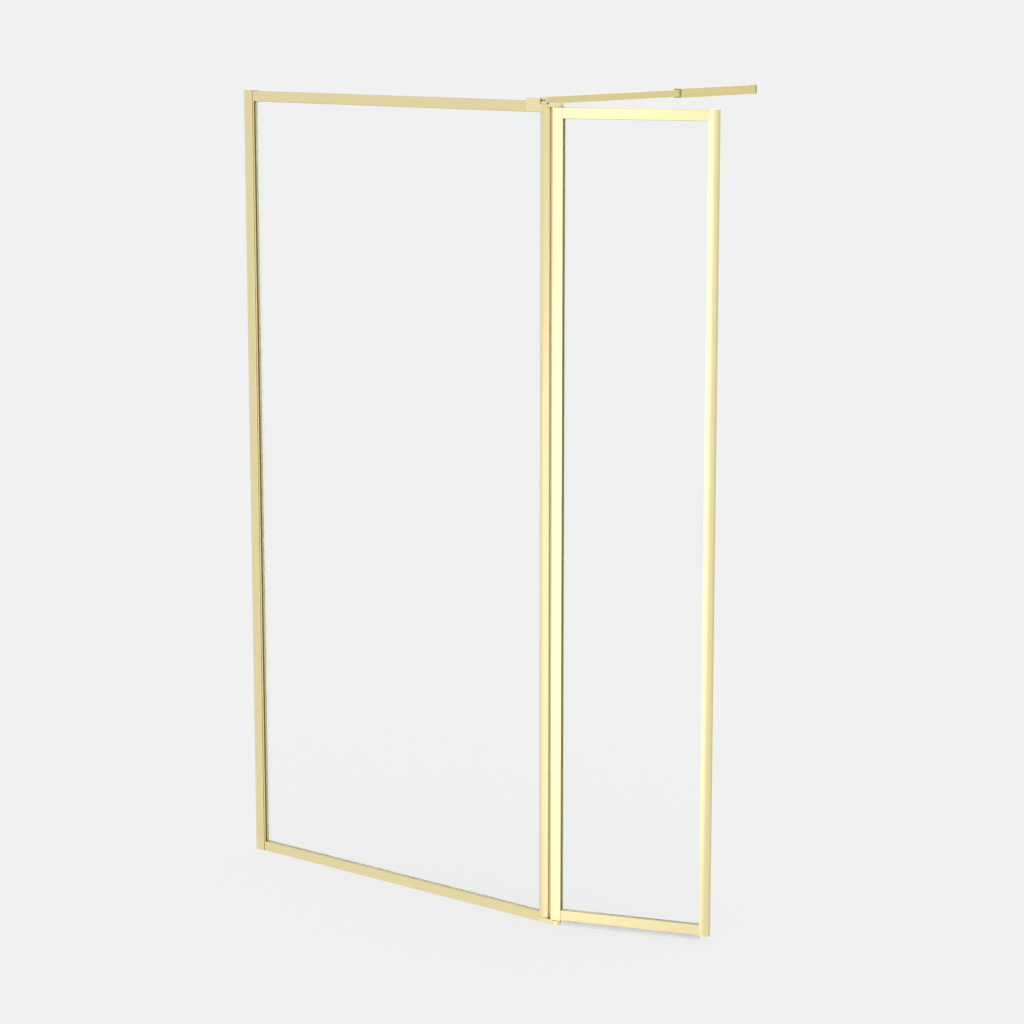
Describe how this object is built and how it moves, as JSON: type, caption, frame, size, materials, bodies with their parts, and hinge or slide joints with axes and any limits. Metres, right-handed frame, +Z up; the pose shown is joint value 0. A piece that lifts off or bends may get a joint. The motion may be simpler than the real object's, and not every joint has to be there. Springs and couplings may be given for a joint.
{
  "type": "shower screen",
  "caption": "Framed walk-in shower screen: a fixed glass panel in a wall channel, a pivoting glass return panel and a telescopic stabiliser arm, in a brushed gold finish.",
  "frame": {"origin": "foot of the wall channel: on the wall face, on the glass mid-plane, at tray level", "axes": "+X along the fixed panel away from the wall, +Y towards the arm's wall, +Z up"},
  "size_m": [1.3735, 0.8602, 2.0134],
  "materials": {
    "gold_frame": "brushed gold anodised",
    "gold_cast": "brushed gold plated",
    "gold_trim": "gold moulded",
    "glass": "clear toughened",
    "gasket": "soft clear vinyl",
    "clear_seal": "translucent vinyl",
    "dark_plastic": "moulded nylon",
    "steel": "stainless"
  },
  "bodies": {
    "wall_channel": {"wall_channel": "gold_frame", "channel_cap": "gold_trim"},
    "fixed_panel": {"wall_stile": "gold_frame", "top_rail": "gold_frame", "bottom_rail": "gold_frame", "pivot_post": "gold_frame", "top_bracket": "gold_cast", "bottom_bracket": "gold_cast", "wall_stile_cap": "gold_trim", "adjuster_caps": "gold_trim", "fixed_glass": "glass", "fixed_gasket_wall": "gasket", "fixed_gasket_post": "gasket", "fixed_gasket_bottom": "gasket", "fixed_gasket_top": "gasket", "gap_seal": "clear_seal", "wall_corner_keys": "dark_plastic", "top_pivot_pin": "steel", "bottom_pivot_pin": "steel", "arm_swivel_pin": "steel", "frame_screws": "steel", "adjuster_screws": "steel"},
    "flipper": {"flipper_pivot_stile": "gold_frame", "flipper_closing_stile": "gold_frame", "closing_stile_cap_top": "gold_trim", "closing_stile_cap_bottom": "gold_trim", "flipper_bottom_rail": "gold_frame", "flipper_top_rail": "gold_frame", "flipper_corner_keys": "dark_plastic", "flipper_screws": "steel", "flipper_glass": "glass", "flipper_gasket_pivot": "gasket", "flipper_gasket_closing": "gasket", "flipper_gasket_bottom": "gasket", "flipper_gasket_top": "gasket", "top_pivot_bush": "dark_plastic", "bottom_pivot_bush": "dark_plastic", "drip_seal": "clear_seal"},
    "arm_bar": {"arm_knuckle": "gold_cast", "arm_bar": "gold_frame", "arm_bar_guide": "dark_plastic"},
    "arm_sleeve": {"arm_sleeve": "gold_frame", "sleeve_bush": "gold_trim", "arm_wall_plug": "gold_cast", "sleeve_grub_screws": "steel"}
  },
  "joints": [
    {"name": "wall_adjust", "type": "slide", "parent": "wall_channel", "child": "fixed_panel", "axis": [1, 0, 0], "range_m": [-0.004, 0.008]},
    {"name": "flipper_pivot", "type": "hinge", "parent": "fixed_panel", "child": "flipper", "pos_m": [1.008, 0, 1], "axis": [0, 0, 1], "range_deg": [-110, 70]},
    {"name": "arm_swivel", "type": "hinge", "parent": "fixed_panel", "child": "arm_bar", "pos_m": [0.9735, -0.006, 2.00215], "axis": [0, 0, 1], "range_deg": [-40, 10]},
    {"name": "arm_extend", "type": "slide", "parent": "arm_bar", "child": "arm_sleeve", "axis": [0, 1, 0], "range_m": [-0.045, 0.16]}
  ]
}
